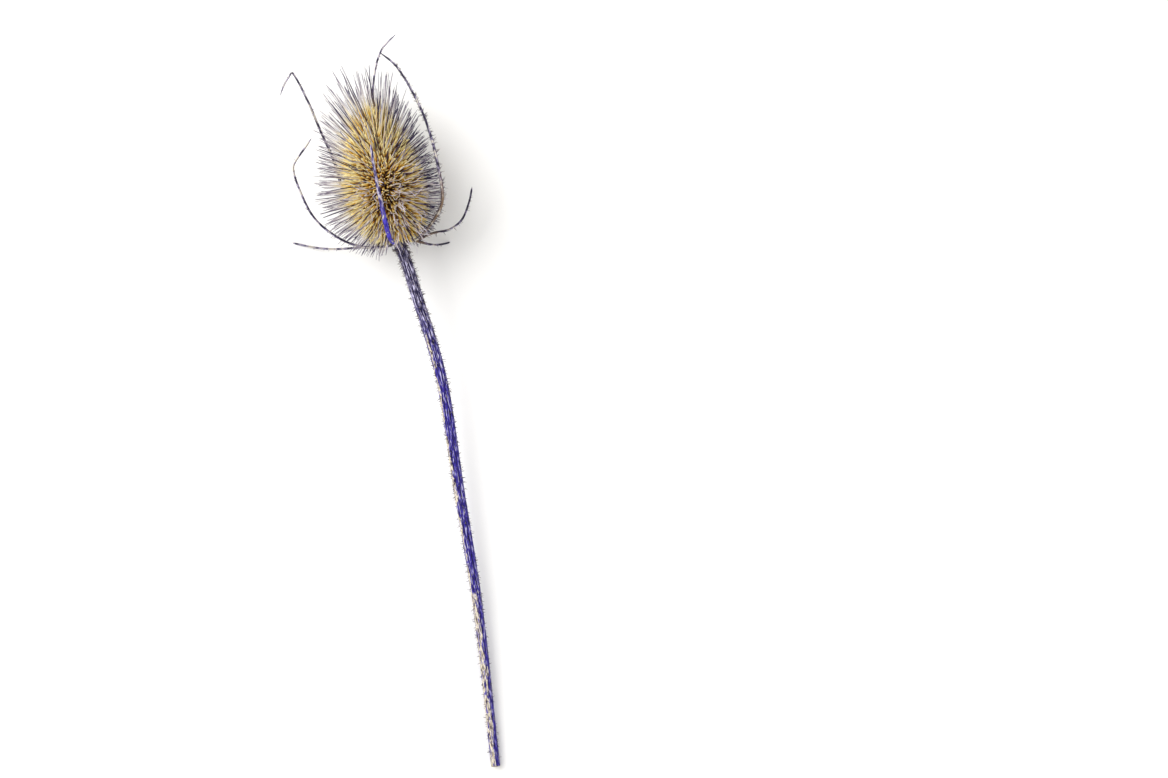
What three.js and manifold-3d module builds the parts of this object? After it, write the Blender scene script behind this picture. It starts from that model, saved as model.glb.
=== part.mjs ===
// A dried teasel seed head on its cut stem, lying on a surface.
// Millimetres, +Z up. The cut end of the stem is towards -Y and the head is towards +Y.
// The origin is on the surface, under the middle of the part's bounding box.

import * as THREE from "three";
import { mergeVertices } from "three/addons/utils/BufferGeometryUtils.js";
import Module from "manifold-3d";

const wasm = await Module();
wasm.setup();

const { degToRad, lerp, smoothstep, seededRandom } = THREE.MathUtils;
const GOLDEN_ANGLE = Math.PI * (3 - Math.sqrt(5));

// How the head lies
const HEAD_YAW = degToRad(11.8); // to the left of +Y, seen from above
const HEAD_PITCH = degToRad(6); // its tip is the higher end
const HEAD_BASE_HEIGHT = 20.5; // middle of the head's base above the surface

// Core of the seed head
const CORE_LENGTH = 52;
const CORE_RADIUS = 12.4;
const CORE_BASE_RADIUS = 4.5;
const CORE_WIDEST = 0.42; // share of the length
const CORE_FULLNESS = 0.6; // under 1 gives blunt ends
const CORE_BOW = 1; // the head bulges to its left
const CORE_SIDES = 22;
const CORE_RINGS = 13;

// Spines, which stand all over the core
const SPINE_COUNT = 900;
const SPINE_FIRST = 0.05; // share of the core's length below the lowest spines
const SPINE_LENGTH = { base: 5.8, side: 12.8, top: 22.4 };
const SPINE_SIDE_FROM = 0.3; // share of the core's length where the spines reach their length at the sides
const SPINE_SIDE_TO = 0.6; // and from where they grow to their length at the top
const SPINE_LOPSIDED = { side: 0.17, top: 0.05 }; // left spines are longer by this share, right ones shorter
const SPINE_LENGTH_SPREAD = 0.07;
const SPINE_LEAN_SPREAD = 0.08;
const SPINE_FAN = 0.48; // 1 points every spine straight out from the axis, less fans them
const SPINE_ROOT_RADIUS = 0.62;
const SPINE_ROOT_DEPTH = 1.2;
const SPINE_CLEARANCE = 0.6; // from a bract, beside which a spine leans away

// Bracts, the long leaves that curve up round the head
const BRACT_ROOT_RADIUS = 3.9;
const BRACT_SHOULDER_RADIUS = 8.5;
const BRACT_ROOT_DROP = 0.5; // roots below the head's base
const BRACT_HALF_WIDTH = { root: 0.9, tip: 0.34 };
const BRACT_HALF_THICKNESS = { root: 0.5, tip: 0.32 };
const BRACT_FLAT = 0.55; // share of the width that is flat on both faces
const BRACT_STEP = 1;
const BRACT_RING_EVERY = 3; // steps from ring to ring
const BRACT_PRICKLE_EVERY = 6; // steps from prickle to prickle
const BRACT_PRICKLE_LENGTH = 1.1;
const BRACT_PRICKLE_RADIUS = 0.3;
const BRACT_GAP = 0.35; // kept between a bract and the head

// Each bract's root angle round the axis, from the top towards the right, its width as a share of the usual
// where that differs, and the points it passes beyond its shoulder: right of the head's base, along the
// head and above the surface
const BRACTS = [
  {
    name: "bract_front",
    angle: -12,
    width: 1.35,
    route: [
      [-2.6, 1.5, 36.4],
      [-2.7, 10.2, 46.2],
      [-2.6, 20.4, 50.2],
      [-2.4, 29.9, 51.4],
      [-1.9, 39.1, 50.8],
    ],
  },
  {
    name: "bract_right_tall",
    angle: 64,
    route: [
      [15.4, 5, 27],
      [21, 12, 33.5],
      [22.3, 28.3, 38.2],
      [21.7, 40, 38],
      [20, 50.5, 37.4],
      [14, 68.4, 35.5],
      [8.6, 75.4, 34],
    ],
  },
  {
    name: "bract_right",
    angle: 98,
    route: [
      [14.2, 0.7, 18.4],
      [21.1, 0.8, 18],
      [26.6, 3.5, 17.4],
      [30.8, 9.5, 16.6],
      [33.6, 15.9, 15.6],
    ],
  },
  {
    name: "bract_right_short",
    angle: 138,
    route: [
      [12.5, -3.4, 8.6],
      [16.7, -3.9, 3.4],
      [20, -3.7, 0.4],
    ],
  },
  {
    name: "bract_under",
    angle: 178,
    route: [
      [3.4, 2.6, 3.6],
      [8.6, 13, 0.42],
      [10, 24, 0.3],
      [6, 42, 0.42],
      [1, 56, 2],
      [4, 69.9, 5.4],
      [9, 78.6, 8.4],
      [15.9, 83.3, 11],
    ],
  },
  {
    name: "bract_left_tall",
    angle: -146,
    route: [
      [-11, 2.6, 5.2],
      [-17.4, 17, 2],
      [-19.8, 39, 3.4],
      [-22.4, 51.2, 6.4],
      [-24.7, 63.5, 10],
      [-28, 75.4, 12.9],
      [-28.7, 76.5, 13],
      [-29.7, 75.5, 12.9],
      [-32.7, 72.4, 12.4],
      [-35.4, 68.2, 11.4],
    ],
  },
  {
    name: "bract_left_low",
    angle: -113,
    route: [
      [-16, 1.2, 12.6],
      [-26.4, 3, 5.4],
      [-34, 5.2, 1.8],
      [-43.7, 9.4, 0.4],
    ],
  },
  {
    name: "bract_left",
    angle: -80,
    route: [
      [-15.4, 1.4, 21],
      [-22, 5.2, 24],
      [-30.5, 15, 26.4],
      [-34.2, 26.8, 26.8],
      [-35.2, 37.4, 27.2],
      [-33.9, 39.6, 27.4],
      [-28.2, 44.9, 28.4],
      [-25.5, 47.6, 29],
    ],
  },
];

// Stem
const STEM_GAP = 0.35; // between the stem's top and the head's base
const STEM_ROUTE = [
  [2.9, -7.6, 19.7],
  [6.5, -19.2, 18.3],
  [16.8, -54, 14],
  [24.2, -101, 9],
  [31.4, -146, 5],
  [39, -214, 1.55],
];
const STEM_RADIUS = { top: 2.3, middle: 2.1, end: 1.7 };
const STEM_TAPER = 60; // distance from the head over which the stem narrows
const STEM_RIDGES = 8;
const STEM_RIDGE_HEIGHT = 0.1; // share of the radius, above and below it
const STEM_STEP = 5;
const STEM_PRICKLE_COUNT = 96;
const STEM_PRICKLE_FIRST = 5; // distance from the head
const STEM_PRICKLE_LAST = 3; // distance from the cut end
const STEM_PRICKLE_CROWDING = 1.5; // over 1 crowds them towards the head
const STEM_PRICKLE_LENGTH = { top: 1.7, end: 1.1 };
const STEM_PRICKLE_LENGTH_SPREAD = 0.25;
const STEM_PRICKLE_ANGLE_SPREAD = 0.12; // off the ridge
const STEM_PRICKLE_RADIUS = 0.42;
const THORN_SIDES = 3; // of a spine or a prickle
const PRICKLE_DROOP = 0.35; // lean back towards the root end
const PRICKLE_DEPTH = 0.4;

// Finishes
const spineFinish = new THREE.MeshStandardMaterial({ color: 0xb5935a, roughness: 0.75, metalness: 0 });
const bractFinish = new THREE.MeshStandardMaterial({ color: 0x5d5488, roughness: 0.7, metalness: 0 });
const stemFinish = new THREE.MeshStandardMaterial({ color: 0x453a8c, roughness: 0.65, metalness: 0 });

const vector = (x, y, z) => new THREE.Vector3(x, y, z);
const smoothCurve = (points) => new THREE.CatmullRomCurve3(points, false, "centripetal");

// Chance draws, the same on every run
seededRandom(7);
const spread = (amount) => amount * (2 * seededRandom() - 1);
const spreadVector = (amount) => vector(spread(amount), spread(amount), spread(amount));

// Moves a point from the head's own frame, whose +Y is the head's axis, to where it lies over the surface.
const headPose = new THREE.Matrix4().makeRotationX(HEAD_PITCH).setPosition(0, 0, HEAD_BASE_HEIGHT);
const laid = (x, y, z) => vector(x, y, z).applyMatrix4(headPose);
const axisAt = (along) => vector(0, along, HEAD_BASE_HEIGHT + along * Math.tan(HEAD_PITCH));

// A closed mesh through rings of points that run anticlockwise about the way they follow each other.
function loft(rings, tip) {
  const sides = rings[0].length;
  const middle = (ring) => ring.reduce((sum, p) => sum.add(p), vector(0, 0, 0)).divideScalar(sides);
  const points = [...rings.flat(), middle(rings[0]), tip ?? middle(rings.at(-1))];
  const [start, end] = [points.length - 2, points.length - 1];
  const index = [];
  for (let side = 0; side < sides; side++) {
    const next = (side + 1) % sides;
    const last = (rings.length - 1) * sides;
    index.push(start, next, side, end, last + side, last + next);
    for (let ring = 0; ring < last; ring += sides) {
      index.push(ring + side, ring + next, ring + sides + next);
      index.push(ring + side, ring + sides + next, ring + sides + side);
    }
  }
  return new THREE.BufferGeometry().setFromPoints(points).setIndex(index);
}

// A ring of points about a centre, in the plane of two directions, with a radius for each corner.
function ring(centre, across, up, radii) {
  return radii.map((radius, corner) => {
    const angle = (2 * Math.PI * corner) / radii.length;
    return centre
      .clone()
      .addScaledVector(across, radius * Math.cos(angle))
      .addScaledVector(up, radius * Math.sin(angle));
  });
}

// Two directions square to one, so that the first, the second and the one are right-handed.
function squareTo(direction, towards) {
  const up = towards.clone().addScaledVector(direction, -towards.dot(direction)).normalize();
  return [up.clone().cross(direction), up];
}

// A slim three-sided prickle or spine.
function thorn(root, tip, radius) {
  const direction = tip.clone().sub(root).normalize();
  const side = Math.abs(direction.z) < 0.9 ? vector(0, 0, 1) : vector(1, 0, 0);
  const [across, up] = squareTo(direction, side);
  return loft([ring(root, across, up, Array(THORN_SIDES).fill(radius))], tip);
}

function solidOf(geometry) {
  const merged = mergeVertices(geometry);
  return new wasm.Manifold(
    new wasm.Mesh({
      numProp: 3,
      vertProperties: merged.getAttribute("position").array,
      triVerts: new Uint32Array(merged.index.array),
    }),
  );
}

function fuse(geometries) {
  return wasm.Manifold.union(geometries.map(solidOf));
}

// The largest of a solid's separate bodies.
function mainBody(solid) {
  return solid.decompose().reduce((most, body) => (body.volume() > most.volume() ? body : most));
}

function meshOf(name, solid, finish) {
  const made = solid.getMesh();
  const geometry = new THREE.BufferGeometry()
    .setAttribute("position", new THREE.BufferAttribute(made.vertProperties, 3))
    .setIndex(new THREE.BufferAttribute(made.triVerts, 1));
  geometry.computeVertexNormals();
  const mesh = new THREE.Mesh(geometry, finish);
  mesh.name = name;
  return mesh;
}

// Bracts

const angledOut = (radius, angle) =>
  axisAt(-BRACT_ROOT_DROP).add(vector(radius * Math.sin(angle), 0, radius * Math.cos(angle)));

function bractCurve({ angle, route }) {
  const root = angledOut(BRACT_ROOT_RADIUS, degToRad(angle));
  const shoulder = angledOut(BRACT_SHOULDER_RADIUS, degToRad(angle));
  return smoothCurve([root, shoulder, ...route.map((p) => vector(...p))]);
}

// A bract's middle point, directions and half sizes at even steps along it. The outer face starts out facing
// down the stem and turns no more than the bract's own curve turns it.
function bractStations(curve, width = 1) {
  const steps = BRACT_RING_EVERY * Math.round(curve.getLength() / BRACT_STEP / BRACT_RING_EVERY);
  let outward = vector(0, -1, 0);
  return Array.from({ length: steps + 1 }, (_, step) => {
    const share = step / steps;
    const along = curve.getTangentAt(share);
    const [across, out] = squareTo(along, outward);
    outward = out;
    return {
      centre: curve.getPointAt(share),
      along,
      across,
      out,
      halfWidth: width * lerp(BRACT_HALF_WIDTH.root, BRACT_HALF_WIDTH.tip, smoothstep(share, 0, 1)),
      halfThickness: lerp(BRACT_HALF_THICKNESS.root, BRACT_HALF_THICKNESS.tip, share),
    };
  });
}

// A six-cornered blade section, flat on both faces, that rests on the surface where it meets it.
function bractRing({ centre, across, out, halfWidth, halfThickness }, grow) {
  const width = halfWidth + grow;
  const thickness = halfThickness + grow;
  const corners = [
    [width, 0],
    [BRACT_FLAT * width, thickness],
    [-BRACT_FLAT * width, thickness],
    [-width, 0],
    [-BRACT_FLAT * width, -thickness],
    [BRACT_FLAT * width, -thickness],
  ];
  return corners.map(([x, y]) => {
    const corner = centre.clone().addScaledVector(across, x).addScaledVector(out, y);
    corner.z = Math.max(corner.z, -grow);
    return corner;
  });
}

function bractBlade(stations, grow = 0) {
  const rings = stations.filter((_, step) => step % BRACT_RING_EVERY === 0);
  const end = rings.pop();
  const tip = end.centre.clone().addScaledVector(end.along, grow);
  tip.z = Math.max(tip.z, BRACT_HALF_THICKNESS.tip);
  return loft(
    rings.map((station) => bractRing(station, grow)),
    tip,
  );
}

// Prickles stand on a bract's two edges and its outer face in turn.
function bractPrickles(stations) {
  const prickles = [];
  const count = Math.floor((stations.length - 1) / BRACT_PRICKLE_EVERY);
  for (let k = 1; k < count; k++) {
    const { centre, along, across, out, halfWidth, halfThickness } = stations[k * BRACT_PRICKLE_EVERY];
    const [way, reach] = [
      [across, halfWidth],
      [out, halfThickness],
      [across.clone().negate(), halfWidth],
    ][k % 3];
    const edge = centre.clone().addScaledVector(way, reach);
    const tip = edge.clone().addScaledVector(way, BRACT_PRICKLE_LENGTH);
    tip.addScaledVector(along, PRICKLE_DROOP * BRACT_PRICKLE_LENGTH);
    if (tip.z < BRACT_PRICKLE_RADIUS) continue;
    prickles.push(thorn(edge.addScaledVector(way, -PRICKLE_DEPTH), tip, BRACT_PRICKLE_RADIUS));
  }
  return prickles;
}

// Seed head

function coreRadius(share) {
  const shape = (x) => Math.sin(Math.PI * x ** (Math.log(0.5) / Math.log(CORE_WIDEST))) ** CORE_FULLNESS;
  return Math.max(CORE_RADIUS * shape(share), CORE_BASE_RADIUS * (1 - share / SPINE_FIRST));
}

const coreBow = (share) => -CORE_BOW * Math.sin(Math.PI * share);

function corePoint(share, angle) {
  const radius = coreRadius(share);
  return laid(radius * Math.sin(angle) + coreBow(share), share * CORE_LENGTH, radius * Math.cos(angle));
}

function coreGeometry() {
  const rings = [];
  for (let k = 0; k < CORE_RINGS; k++) {
    const share = (1 - Math.cos((Math.PI * k) / CORE_RINGS)) / 2;
    const angles = Array.from({ length: CORE_SIDES }, (_, side) => (2 * Math.PI * side) / CORE_SIDES);
    rings.push(angles.map((angle) => corePoint(share, angle)));
  }
  return loft(rings, corePoint(1, 0));
}

// Shares of the core's length that give every spine the same area of the core.
function spineShares() {
  const slices = 400;
  const area = [0];
  for (let k = 0; k < slices; k++) {
    const [low, high] = [k, k + 1].map((edge) => lerp(SPINE_FIRST, 1, edge / slices));
    const rise = coreRadius(high) - coreRadius(low);
    const slope = Math.hypot(rise, (high - low) * CORE_LENGTH);
    area.push(area.at(-1) + slope * coreRadius((low + high) / 2));
  }
  return Array.from({ length: SPINE_COUNT }, (_, k) => {
    const wanted = ((k + 0.5) / SPINE_COUNT) * area.at(-1);
    const slice = area.findIndex((sum) => sum > wanted);
    return lerp(SPINE_FIRST, 1, (slice - 0.5) / slices);
  });
}

function spineLength(share, angle) {
  const side = lerp(SPINE_LENGTH.base, SPINE_LENGTH.side, smoothstep(share, 0, SPINE_SIDE_FROM));
  const upper = smoothstep(share, SPINE_SIDE_TO, 1);
  const lopsided = lerp(SPINE_LOPSIDED.side, SPINE_LOPSIDED.top, upper);
  return lerp(side, SPINE_LENGTH.top, upper) * (1 - lopsided * Math.sin(angle));
}

// Moves a spine's tip until the spine passes every bract at a clear distance.
function leanClear(foot, tip, bractLine) {
  const line = new THREE.Line3(foot, tip);
  const near = vector(0, 0, 0);
  for (let round = 0; round < 10; round++) {
    let worst = 0;
    const push = vector(0, 0, 0);
    for (const { centre, halfWidth } of bractLine) {
      const share = line.closestPointToPointParameter(centre, true);
      const lacking = halfWidth + SPINE_CLEARANCE - line.at(share, near).distanceTo(centre);
      if (lacking <= worst) continue;
      worst = lacking;
      push.subVectors(near, centre).setLength(lacking / Math.max(share, 0.3));
    }
    if (!worst) break;
    tip.add(push);
  }
  tip.z = Math.max(tip.z, 0);
}

function spines(bractLine) {
  return spineShares().map((share, k) => {
    const angle = k * GOLDEN_ANGLE;
    const foot = corePoint(share, angle);
    const focusShare = lerp(CORE_WIDEST, share, SPINE_FAN);
    const focus = laid(coreBow(share), focusShare * CORE_LENGTH, 0);
    const way = foot.clone().sub(focus).normalize();
    way.add(spreadVector(SPINE_LEAN_SPREAD)).normalize();
    const length = spineLength(share, angle) * (1 + spread(SPINE_LENGTH_SPREAD));
    const tip = foot.clone().addScaledVector(way, length);
    leanClear(foot, tip, bractLine);
    const root = foot.lerp(tip, -SPINE_ROOT_DEPTH / length);
    return thorn(root, tip, SPINE_ROOT_RADIUS);
  });
}

// Stem

const axisInPlan = vector(-Math.sin(HEAD_YAW), Math.cos(HEAD_YAW), Math.tan(HEAD_PITCH)).normalize();

function stemCurve() {
  const top = vector(0, 0, HEAD_BASE_HEIGHT).addScaledVector(axisInPlan, -STEM_GAP);
  return smoothCurve([top, ...STEM_ROUTE.map((p) => vector(...p))]);
}

function stemRadius(distance, length) {
  const upper = lerp(STEM_RADIUS.top, STEM_RADIUS.middle, smoothstep(distance, 0, STEM_TAPER));
  return lerp(upper, STEM_RADIUS.end, smoothstep(distance, STEM_TAPER, length));
}

function stemStation(curve, share) {
  const length = curve.getLength();
  const along = share ? curve.getTangentAt(share) : axisInPlan.clone().negate();
  const [across, up] = squareTo(along, vector(0, 0, 1));
  return { centre: curve.getPointAt(share), along, across, up, radius: stemRadius(share * length, length) };
}

// Ridges and furrows by turns, flat underneath where the stem meets the surface.
function stemBody(curve) {
  const steps = Math.round(curve.getLength() / STEM_STEP);
  const rings = Array.from({ length: steps + 1 }, (_, step) => {
    const { centre, across, up, radius } = stemStation(curve, step / steps);
    const corner = (k) => radius * (1 + STEM_RIDGE_HEIGHT * (k % 2 ? -1 : 1));
    const points = ring(centre, across, up, Array.from({ length: 2 * STEM_RIDGES }, (_, k) => corner(k)));
    points.forEach((p) => (p.z = Math.max(p.z, 0)));
    return points;
  });
  return loft(rings);
}

// Prickles sit on the ridges, point out and a little down the stem, and crowd towards the head.
function stemPrickles(curve) {
  const length = curve.getLength();
  const prickles = [];
  for (let k = 0; k < STEM_PRICKLE_COUNT; k++) {
    const rank = ((k + 0.5) / STEM_PRICKLE_COUNT) ** STEM_PRICKLE_CROWDING;
    const share = lerp(STEM_PRICKLE_FIRST, length - STEM_PRICKLE_LAST, rank) / length;
    const { centre, along, across, up, radius } = stemStation(curve, share);
    const angle = (2 * Math.PI * ((3 * k) % STEM_RIDGES)) / STEM_RIDGES + spread(STEM_PRICKLE_ANGLE_SPREAD);
    const way = across.multiplyScalar(Math.cos(angle)).addScaledVector(up, Math.sin(angle));
    const usual = lerp(STEM_PRICKLE_LENGTH.top, STEM_PRICKLE_LENGTH.end, share);
    const reach = usual * (1 + spread(STEM_PRICKLE_LENGTH_SPREAD));
    const edge = centre.clone().addScaledVector(way, radius * (1 + STEM_RIDGE_HEIGHT));
    const tip = edge.clone().addScaledVector(way, reach).addScaledVector(along, PRICKLE_DROOP * reach);
    if (tip.z < STEM_PRICKLE_RADIUS) continue;
    prickles.push(thorn(edge.addScaledVector(way, -PRICKLE_DEPTH), tip, STEM_PRICKLE_RADIUS));
  }
  return prickles;
}

// The part

const bracts = BRACTS.map((bract) => ({
  name: bract.name,
  stations: bractStations(bractCurve(bract), bract.width),
}));
const roomForBracts = fuse(bracts.map(({ stations }) => bractBlade(stations, BRACT_GAP)));
const bractLine = bracts.flatMap(({ stations }) => stations);
const headSolid = mainBody(fuse([coreGeometry(), ...spines(bractLine)]).subtract(roomForBracts));

const head = new THREE.Group();
head.rotation.z = HEAD_YAW;
head.add(meshOf("seed_head", headSolid, spineFinish));
bracts.forEach(({ name, stations }) => {
  const bractSolid = fuse([bractBlade(stations), ...bractPrickles(stations)]);
  head.add(meshOf(name, bractSolid, bractFinish));
});

const stemLine = stemCurve();
const teasel = new THREE.Group();
teasel.add(head, meshOf("stem", fuse([stemBody(stemLine), ...stemPrickles(stemLine)]), stemFinish));

const box = new THREE.Box3().setFromObject(teasel, true);
const middle = box.getCenter(vector(0, 0, 0));
teasel.position.set(-middle.x, -middle.y, -box.min.z);

export default teasel;
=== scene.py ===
"""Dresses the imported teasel: its spiny seed head, the bracts round it and its ridged stem."""

import logging
import math
from dataclasses import dataclass
from enum import Enum

import bpy
import numpy as np
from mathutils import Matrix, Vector


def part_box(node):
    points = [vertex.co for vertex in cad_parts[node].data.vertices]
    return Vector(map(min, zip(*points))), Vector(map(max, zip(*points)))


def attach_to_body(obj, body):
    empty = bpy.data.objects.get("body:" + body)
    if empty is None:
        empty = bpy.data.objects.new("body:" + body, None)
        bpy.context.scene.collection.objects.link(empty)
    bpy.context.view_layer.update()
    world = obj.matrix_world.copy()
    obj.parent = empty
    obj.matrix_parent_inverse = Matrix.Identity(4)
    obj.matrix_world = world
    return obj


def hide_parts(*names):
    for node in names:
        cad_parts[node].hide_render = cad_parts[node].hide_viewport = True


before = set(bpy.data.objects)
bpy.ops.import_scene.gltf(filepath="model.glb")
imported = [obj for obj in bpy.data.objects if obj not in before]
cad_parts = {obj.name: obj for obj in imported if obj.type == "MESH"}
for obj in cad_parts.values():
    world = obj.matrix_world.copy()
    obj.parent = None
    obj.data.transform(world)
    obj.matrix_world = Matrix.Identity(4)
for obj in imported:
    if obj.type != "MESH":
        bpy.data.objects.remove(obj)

MM = 0.001
GOLDEN_ANGLE = math.pi * (3.0 - math.sqrt(5.0))
BODY = "root"

log = logging.getLogger("teasel")

Array = np.ndarray
Material = bpy.types.Material
Socket = bpy.types.NodeSocket
Span = tuple[float, float]
Spot = tuple[float, float, float]
Colour = tuple[float, float, float, float]
Feed = Socket | float | Colour
Stops = tuple[float, ...]
Faces = list[tuple[int, ...]]


def colour(code: str) -> Colour:
    """Turns a colour as seen on a screen (sRGB) into the renderer's own numbers.

    Args:
        code: Six hexadecimal digits, red first.

    Returns:
        Linear red, green and blue, and an alpha of 1.
    """
    seen = [int(code[k : k + 2], 16) / 255 for k in (0, 2, 4)]
    linear = [c / 12.92 if c <= 0.04045 else ((c + 0.055) / 1.055) ** 2.4 for c in seen]
    return (*linear, 1.0)


def ease(value: Array | float, low: float, high: float) -> Array:
    """Rises smoothly from 0 at low to 1 at high."""
    t = np.clip((np.asarray(value, float) - low) / (high - low), 0.0, 1.0)
    return t * t * (3.0 - 2.0 * t)


def mix(low: Array | float, high: Array | float, share: Array | float) -> Array:
    """Goes evenly from low to high as share goes from 0 to 1."""
    return low + (high - low) * np.asarray(share, float)


def unit(vectors: Array) -> Array:
    """Scales each vector to length 1."""
    return vectors / np.linalg.norm(vectors, axis=-1, keepdims=True)


def swing(first: Array, second: Array, angle: float) -> tuple[Array, Array]:
    """Turns points, given by two of their coordinates, by an angle."""
    cos, sin = math.cos(angle), math.sin(angle)
    return first * cos - second * sin, first * sin + second * cos


def angles_round(count: int) -> Array:
    """Gives evenly spaced angles all the way round."""
    return np.linspace(0.0, math.tau, count, endpoint=False)


def above_floor(points: Array) -> Array:
    """Lifts the points that are under the surface up to it."""
    return np.maximum(points, (-math.inf, -math.inf, 0.0))


class Route:
    """A smooth curve through a few points, read at even distances along it."""

    SPAN_SAMPLES = 80
    NEAR = 0.3 * MM

    def __init__(self, points: Array) -> None:
        """Draws the curve.

        Args:
            points: The points that the curve passes, in order, one a row.
        """
        ends = [2 * points[0] - points[1], *points, 2 * points[-1] - points[-2]]
        spans = [self._span(*ends[k : k + 4]) for k in range(len(points) - 1)]
        self.line = np.vstack([*spans, points[-1:]])
        steps = np.linalg.norm(np.diff(self.line, axis=0), axis=1)
        self.reach = np.concatenate([[0.0], np.cumsum(steps)])

    def _span(self, before: Array, start: Array, end: Array, after: Array) -> Array:
        """Gives the points from one passed point up to the next.

        Args:
            before: The point passed before start.
            start: Where the span starts.
            end: Where the span ends.
            after: The point passed after end.

        Returns:
            Points along the span, without its end.
        """
        gaps = [math.sqrt(np.linalg.norm(b - a)) for a, b in ((before, start), (start, end), (end, after))]
        leave = (start - before) / gaps[0] - (end - before) / (gaps[0] + gaps[1]) + (end - start) / gaps[1]
        enter = (end - start) / gaps[1] - (after - start) / (gaps[1] + gaps[2]) + (after - end) / gaps[2]
        leave, enter = leave * gaps[1], enter * gaps[1]
        t = np.linspace(0.0, 1.0, self.SPAN_SAMPLES, endpoint=False)[:, None]
        square = 3 * (end - start) - 2 * leave - enter
        cube = 2 * (start - end) + leave + enter
        return start + t * (leave + t * (square + t * cube))

    @property
    def length(self) -> float:
        """The curve's length."""
        return float(self.reach[-1])

    def at(self, distances: Array) -> Array:
        """Gives the points at these distances along the curve."""
        return np.stack([np.interp(distances, self.reach, self.line[:, k]) for k in range(3)], axis=1)

    def heading(self, distances: Array) -> Array:
        """Gives the curve's direction at these distances along it."""
        ahead = self.at(np.minimum(distances + self.NEAR, self.length))
        return unit(ahead - self.at(np.maximum(distances - self.NEAR, 0.0)))


@dataclass(frozen=True)
class HeadPose:
    """How the head lies over the surface, as the solids have it."""

    yaw: float = math.radians(11.8)
    pitch: float = math.radians(6.0)
    base_height: float = 20.5 * MM
    foot: Span = (0.0, 0.0)

    def tilt(self, points: Array) -> Array:
        """Raises points from the head's own frame to their height over the surface.

        Args:
            points: Points in the head's own frame, whose +Y is its axis.

        Returns:
            The points in the head's plan.
        """
        x, y, z = np.moveaxis(points, -1, 0)
        y, z = swing(y, z, self.pitch)
        return np.stack([x, y, z + self.base_height], axis=-1)

    def axis(self, along: float) -> Array:
        """Gives the axis's point at a level distance along the head."""
        return np.array([0.0, along, self.base_height + along * math.tan(self.pitch)])

    def turn(self, ways: Array) -> Array:
        """Turns directions to the way that the head points."""
        x, y, z = np.moveaxis(ways, -1, 0)
        return np.stack([*swing(x, y, self.yaw), z], axis=-1)

    def place(self, points: Array) -> Array:
        """Turns points to the way that the head points and moves them to its foot."""
        return self.turn(points) + np.array([*self.foot, 0.0])


class NodeWork:
    """A node tree, to which nodes are added and joined by short calls."""

    def __init__(self, tree: bpy.types.NodeTree) -> None:
        """Takes the tree to add nodes to."""
        self.tree = tree

    def add(self, kind: str, inputs: dict[str | int, Feed], **settings: str) -> bpy.types.Node:
        """Adds a node.

        Args:
            kind: The node's type.
            inputs: What its inputs take, by name or number: another node's output or a fixed value.
            settings: Its other settings.

        Returns:
            The node.
        """
        node = self.tree.nodes.new(kind)
        for name, setting in settings.items():
            setattr(node, name, setting)
        self.feed(node, inputs)
        return node

    def feed(self, node: bpy.types.Node, inputs: dict[str | int, Feed]) -> None:
        """Joins or sets a node's inputs.

        Args:
            node: The node.
            inputs: What its inputs take, by name or number: another node's output or a fixed value.
        """
        for key, value in inputs.items():
            if isinstance(value, Socket):
                self.tree.links.new(value, node.inputs[key])
            else:
                node.inputs[key].default_value = value


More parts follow.
